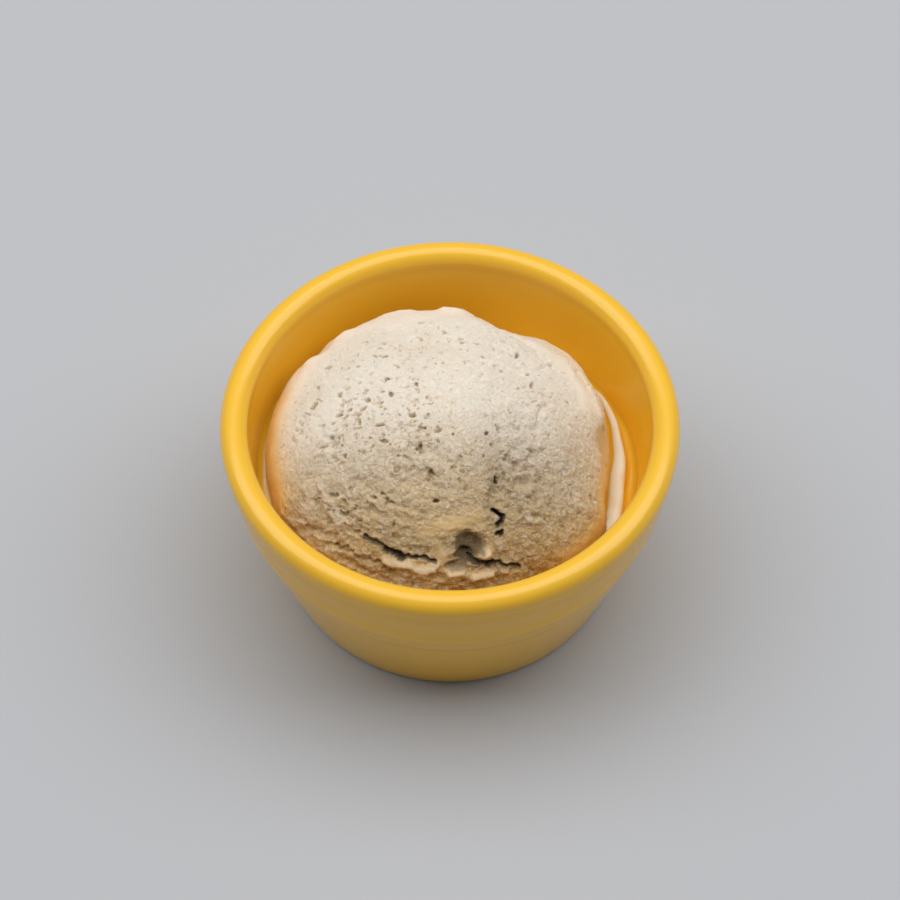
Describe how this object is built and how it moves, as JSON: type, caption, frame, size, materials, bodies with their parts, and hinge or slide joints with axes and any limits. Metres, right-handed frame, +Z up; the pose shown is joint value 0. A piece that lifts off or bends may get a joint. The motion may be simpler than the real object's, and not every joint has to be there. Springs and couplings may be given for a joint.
{
  "type": "gelato cup",
  "caption": "Round glazed ceramic dessert cup with a rolled rim and tapered wall, holding one large scoop of pale gelato with a torn front edge.",
  "frame": {"origin": "centre of the cup's foot, on the surface that it stands on", "axes": "+Z up along the cup's axis; -Y is the front, where the scoop's torn ledge is"},
  "size_m": [0.09, 0.09, 0.0492],
  "materials": {
    "cup": "gloss",
    "gelato": "matte"
  },
  "bodies": {
    "root": {"cup": "cup", "gelato": "gelato"}
  },
  "joints": []
}
